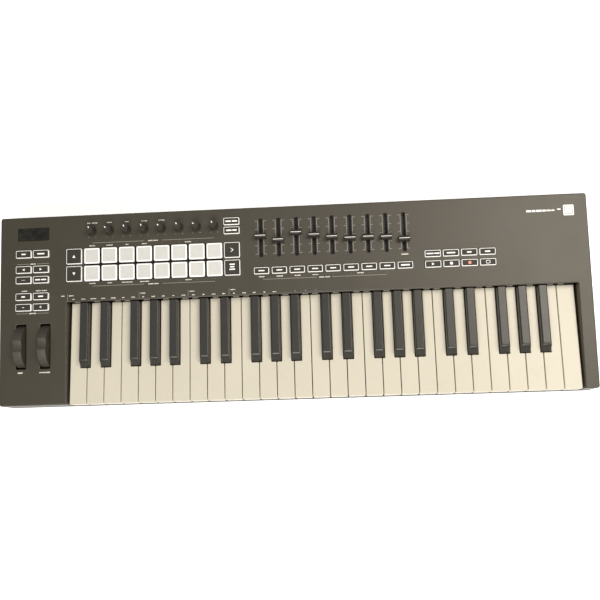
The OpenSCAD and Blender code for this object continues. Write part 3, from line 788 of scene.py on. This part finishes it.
KNOB_LOW, KNOB_TOP, KNOB_WIDE, KNOB_NARROW = 0.6, 14.5, 6.2, 4.5
KNOB_SHAFT, KNOB_SHAFT_END = 3.0, -8.5
KNOB_LEAN = [16, 45, 12, 18, 45, 20, 45, 18]
CAP_FRONT = 4.21  # from the middle of a fader cap to the front of its box
AXLE_BORE_R, AXLE_DEPTH = 2.05, 14.0


def make_knob(i):
    """A slightly fluted, tapering cap on its shaft, with a light pointer at the edge of its top."""
    shape = Shape()
    place = panel_place(KNOB_X[i], KNOB_Y) @ Matrix.Rotation(math.radians(KNOB_LEAN[i]), 4, "Z")
    count = 96

    def ring(radius, z, flute=0.0):
        made = []
        for k in range(count):
            a = math.tau * k / count
            r = radius - flute * (0.5 + 0.5 * math.cos(24 * a)) ** 2
            made.append((r * math.cos(a), r * math.sin(a), z))
        return made

    wide, narrow, low, top = KNOB_WIDE, KNOB_NARROW, KNOB_LOW, KNOB_TOP
    rings = [ring(KNOB_SHAFT, KNOB_SHAFT_END), ring(KNOB_SHAFT, low), ring(wide - 0.4, low),
             ring(wide - 0.05, low + 0.25), ring(wide, low + 0.7), ring(wide - 0.12, low + 2.2),
             ring(wide - 0.25, low + 2.6, 0.16)]
    for t in (0.2, 0.45, 0.7, 0.9):
        rings.append(ring(wide - 0.25 - (wide - narrow - 0.4) * t, low + 2.6 + (top - low - 3.6) * t, 0.16))
    rings += [ring(narrow + 0.1, top - 0.75, 0.10), ring(narrow - 0.05, top - 0.35),
              ring(narrow - 0.35, top - 0.08), ring(narrow - 0.7, top), ring(narrow - 1.3, top - 0.02),
              ring(narrow - 1.6, top - 0.16), ring(narrow - 2.2, top - 0.2)]
    shape.loft(rings, place)
    body = f"knob_{i + 1}"
    solid(body + "_cap", shape, [KNOB], body, [body])
    pointer = Shape()
    pointer.bar(0, narrow - 1.35, 1.25, 2.5, top - 0.5, top, 0.25, place)
    solid(body + "_pointer", pointer, [MARK], body)


def make_fader(i):
    """A ridged cap on a flat lever that goes down through the slot."""
    shape = Shape()
    body = f"fader_{i + 1}"
    place = panel_place(FADER_X[i], BODY_D / 2 - corners(body)[0].y - CAP_FRONT)
    half_w = 7.5
    profile = [(-4.0, 2.2), (4.0, 2.2), (4.0, 2.7), (3.8, 6.0), (2.65, 9.6), (2.4, 10.2), (2.0, 10.5),
               (-2.0, 10.5), (-2.4, 10.2), (-2.65, 9.6), (-3.8, 6.0), (-4.0, 2.7)]
    rings = []
    for inset, side in ((0.7, -half_w), (0.25, -half_w + 0.18), (0.0, -half_w + 0.6),
                        (0.0, half_w - 0.6), (0.25, half_w - 0.18), (0.7, half_w)):
        rings.append([(side, py * (1 - inset / 4), 6.3 + (pz - 6.3) * (1 - inset / 5)) for py, pz in profile])
    shape.loft(rings, place)
    shape.bar(0, 0, 1.4, 5.0, LEVER_END, 3, 0.3, place)
    solid(body + "_cap", shape, [FADER], body, [body])
    # A light line along the top of the ridge in the light print colour: partly a printed line, partly painted
    # highlight of the ridge
    line = Shape()
    line.bar(0, 0, half_w * 2 - 1.0, 0.9, 10.3, 10.5 + PRINT_THICK, 0.2, place)
    solid(body + "_line", line, [PRINT], body)


def make_wheel(node, x, notch):
    """Most of a disc, with a thumb dent and rounded rims, bored for its axle."""
    wheel_r, width, dent_at, dent_r, soft = 30.0, 11.8, 41.0, 14.0, 0.6
    chord = math.asin(-8 / wheel_r)
    profile = []
    count = 150
    for k in range(count + 1):
        a = chord + (math.pi - 2 * chord) * k / count
        from_dent = math.pi / 2 + math.radians(notch) - a
        reach = wheel_r
        side = dent_at * math.sin(from_dent)
        if abs(side) < dent_r and math.cos(from_dent) > 0:
            dent = dent_at * math.cos(from_dent) - math.sqrt(dent_r ** 2 - side ** 2)
            blend = max(soft - abs(dent - wheel_r), 0.0) / soft
            reach = min(dent, wheel_r) - blend * blend * soft / 4
        profile.append((reach * math.cos(a), reach * math.sin(a)))
    bore = circle(AXLE_BORE_R, 24)
    flat = Shape()
    half = width / 2
    rim = round_over(0.9, half, 5)
    sides = [(inset, -z) for inset, z in reversed(rim)] + rim
    loops = []
    for inset, z in sides:
        shrink = 1 - inset / wheel_r
        loops.append(flat.add_points([(px * shrink, py * shrink, z) for px, py in profile]))
    for lower, upper in zip(loops, loops[1:]):
        flat.bridge(lower, upper)
    bores = [flat.add_points(at_height(bore, z)) for z in (-half, half)]
    flat.bridge(bores[1], bores[0])
    flat.fill([loops[0], bores[0]], False)
    flat.fill([loops[-1], bores[1]], True)
    shape = Shape()
    across = Matrix(((0, 0, 1, 0), (1, 0, 0, 0), (0, 1, 0, -AXLE_DEPTH), (0, 0, 0, 1)))
    shape.take(flat, panel_place(x, WHEEL_Y) @ across)
    solid(node + "_rim", shape, [WHEEL], node, [node])


for i in range(8):
    make_knob(i)
for i in range(9):
    make_fader(i)
make_wheel("pitch_wheel", WHEEL_AT[0], 0)
make_wheel("mod_wheel", WHEEL_AT[1], -5)


# ---------------------------------------------------------------- printed marks on the panel

# The dark ink is partly a black frame and partly painted shade of the gaps between the pads
INKS = {"light": PRINT, "dim": PRINT_DIM, "dark": GAP_SHADE_AND_DARK_PRINT}


class Print:
    """Flat marks on the panel, gathered into one piece for each ink."""

    def __init__(self):
        self.shapes = {ink: Shape() for ink in INKS}

    def bar(self, x, y, w, d, ink, r):
        self.shapes[ink].bar(0, 0, w, d, -0.15, 0.05, r, panel_place(x, y))

    def words(self, x, y, lengths, height=1.3):
        """Rows of small plain blocks in place of a label, centred on x."""
        total = sum(lengths) + 1.0 * (len(lengths) - 1)
        at = x - total / 2
        for length in lengths:
            count = max(1, round(length / 1.15))
            step = length / count
            for k in range(count):
                tall = height * random.choice((0.85, 0.85, 1.0, 1.25))
                self.bar(at + step * (k + 0.5), y, step * 0.78, tall, "light", 0.12)
            at += length + 1.0

    def group(self, x0, x1, y, gap_middle, gap, lengths):
        """A line across a group of controls, with its label in a gap."""
        for left, right in ((x0, gap_middle - gap / 2), (gap_middle + gap / 2, x1)):
            if right > left:
                self.bar((left + right) / 2, y, right - left, 0.45, "dim", 0.1)
        self.words(gap_middle, y, lengths, 1.4)

    def finish(self):
        for ink, shape in self.shapes.items():
            solid("print_" + ink, shape, [INKS[ink]], "case")


ink = Print()

# Round the left-hand buttons and the wheels
ink.group(23.5, 68.4, 65.5, 45.9, 11, [7.8])
ink.group(23.0, 68.2, 133.6, 45.8, 13, [10.0])
ink.words(34.1, 102.7, [8.0])
ink.words(57.8, 102.7, [7.0, 7.4])
ink.words(29.1, 213.9, [7.0], 1.6)
ink.words(63.0, 214.1, [15.0], 1.6)

# Over the knobs
for i, lengths in enumerate([[4.2, 0.4, 7.6], [6.8], [5.4], [8.2], [8.8]]):
    ink.words(KNOB_X[i], 12.0, lengths, 1.4)
for x in KNOB_X:
    for side in (-1, 1):
        ink.bar(x + side * 4.9, KNOB_Y + 8.3, 0.6, 0.6, "light", 0.25)

# Black bands between the pads: partly a black frame, partly painted shade of the gaps between the pads
for i in range(7):
    ink.bar(PAD_X[i] + GRID / 2, sum(PAD_Y) / 2, GRID - PAD_SIZE - 1.1, 2 * PAD_SIZE + 2.7, "dark", 0.1)
for i in range(8):
    ink.bar(PAD_X[i], sum(PAD_Y) / 2, PAD_SIZE + 0.9, GRID - PAD_SIZE - 1.1, "dark", 0.1)


def mode_labels(columns, y, lengths, side):
    """Labels for the first four columns, dots for the others and a label between two of them."""
    for x, length in zip(columns, lengths):
        ink.words(x, y, [length], 1.2)
    for x in columns[4:8]:
        ink.bar(x, y - 0.3 * side, 0.6, 0.6, "dim", 0.25)
    ink.words((columns[5] + columns[6]) / 2, y, [8.6], 1.2)


# Round the pads and under the fader buttons
ink.group(PAD_X[0], PAD_X[7], 39.7, PAD_X[3] + GRID / 2, 24, [6.4, 6.6])
mode_labels(PAD_X, 43.6, [8.0, 8.6, 4.4, 7.4], 1)
ink.group(PAD_X[0], PAD_X[7], 99.2, PAD_X[3] + GRID / 2, 25, [6.8, 6.4])
mode_labels(PAD_X, 95.6, [8.4, 6.4, 14.6, 12.8], -1)
ink.group(FADER_X[0] + 1.5, FADER_X[7] - 1, 99.2, FADER_X[3] + GRID / 2, 21, [7.2, 6.6])
mode_labels(FADER_X, 95.6, [7.6, 8.8, 8.2, 8.0], -1)
ink.words(FADER_X[8], 72.8, [9.3], 1.5)

# Beside the fader slots
for x in FADER_X:
    for side in (-1, 1):
        ink.bar(x + side * 3.9, 41.9, 0.45, 46.0, "dim", 0.1)
        for k in range(17):
            y = 19.1 + 45.7 * k / 16
            reach = 0.9 if k % 4 else 3.7
            ink.bar(x + side * (4.0 + reach / 2), y, reach, 0.3 if k % 4 else 0.5, "dim", 0.1)

# Over the keys
for x in (94.2, 193.0, 260.3, 315.9):
    ink.bar(x, 113.85, 0.4, 8.7, "dim", 0.1)
    ink.words(x + 5.2, 111.5, [6.6], 1.2)
ink.words(87.7, 111.5, [4.4], 1.2)
FIRST_LABELS, OTHER_LABELS = (3.2, 5.4, 8.0, 6.0, 6.4), (4.0, 2.6, 5.0)
for i in range(21):
    length = FIRST_LABELS[i % 5] if i < 7 else OTHER_LABELS[i % 3]
    ink.words(102.4 + 13.75 * i, 116.5, [length], 1.2)
for x in (405.1, 419.2, 432.9):
    ink.bar(x, 116.5, 0.9, 0.9, "light", 0.4)
ink.finish()


def make_badge():
    """A plain light square with a thin border, and a row of plain blocks beside it."""
    shape = Shape()
    place = panel_place(772.5, 22.5)
    shape.block(box_points(13.8, 14.2, 1.2), [(0, -0.15), (0, 0.1)], place)
    border = box_points(10.4, 10.8, 0.8)
    shape.plate(outline(border, 0, 3), [outline(border, 0.7, 3)], 0.05, 0.16, place, 1)
    at = 717.1
    for length, height in ((6.2, 2.8), (5.0, 2.8), (7.2, 2.8), (4.4, 2.6), (5.6, 2.0), (4.2, 1.8)):
        shape.bar(0, 0, length, height, -0.15, 0.06, 0.6, panel_place(at + length / 2, 22.0))
        at += length + 0.9
    shape.bar(0, 0, 4.6, 1.6, -0.15, 0.06, 0.5, panel_place(760.0, 20.9))
    solid("badge", shape, [MARK, KEY_BLACK], "case")


make_badge()


# ---------------------------------------------------------------- floor, light and camera

def make_floor():
    mesh = bpy.data.meshes.new("floor")
    mesh.from_pydata([(-4, -4, 0), (4, -4, 0), (4, 4, 0), (-4, 4, 0)], [], [(0, 1, 2, 3)])
    paper = moulded("floor_paper", (0.93, 0.93, 0.93), 0.85, 0.004, 2.0, 0.02, 400, 0.02, specular=0.1)
    shader = paper.node_tree.nodes["Principled BSDF"]
    shader.inputs["Emission Color"].default_value = (1, 1, 1, 1)
    shader.inputs["Emission Strength"].default_value = 0.45
    mesh.materials.append(paper)
    piece = bpy.data.objects.new("floor", mesh)
    bpy.context.scene.collection.objects.link(piece)


def area_light(name, at, target, size, power, colour=(1, 1, 1)):
    data = bpy.data.lights.new(name, "AREA")
    data.shape = "RECTANGLE"
    data.size, data.size_y = size
    data.energy = power
    data.color = colour
    lamp = bpy.data.objects.new(name, data)
    bpy.context.scene.collection.objects.link(lamp)
    lamp.location = at
    lamp.rotation_euler = (Vector(target) - Vector(at)).to_track_quat("-Z", "Y").to_euler()


make_floor()
scene = bpy.context.scene
scene.view_settings.view_transform = "Standard"
scene.view_settings.look = "None"
world = bpy.data.worlds.new("soft_room")
world.use_nodes = True
world.node_tree.nodes["Background"].inputs["Color"].default_value = (1.0, 1.0, 1.0, 1)
world.node_tree.nodes["Background"].inputs["Strength"].default_value = 0.24
scene.world = world
area_light("front", (0.0, -1.5, 1.8), (0, 0, 0), (1.6, 0.9), 50.0, (1.0, 0.97, 0.93))
area_light("sky", (-0.3, 0.5, 2.2), (0, 0, 0), (2.2, 1.4), 5.0)
area_light("sheen", (0.95, 0.3, 1.7), (0.3, 0.05, 0.05), (1.0, 0.8), 22.0, (1.0, 0.92, 0.81))


def make_camera():
    data = bpy.data.cameras.new("camera")
    data.sensor_width = 36.0
    data.sensor_fit = "HORIZONTAL"
    data.lens = 47.91
    data.clip_start = 0.05
    data.clip_end = 20
    lens = bpy.data.objects.new("camera", data)
    scene.collection.objects.link(lens)
    right = Vector((0.99777, -0.02737, -0.0609))
    forward = Vector((-0.0548, 0.18544, -0.98113)).normalized()
    right = (right - forward * right.dot(forward)).normalized()
    up = right.cross(forward)
    lens.matrix_world = Matrix(((right.x, up.x, -forward.x, 0.07143), (right.y, up.y, -forward.y, -0.19839),
                                (right.z, up.z, -forward.z, 1.10394), (0, 0, 0, 1)))
    scene.camera = lens


make_camera()
bpy.context.view_layer.update()
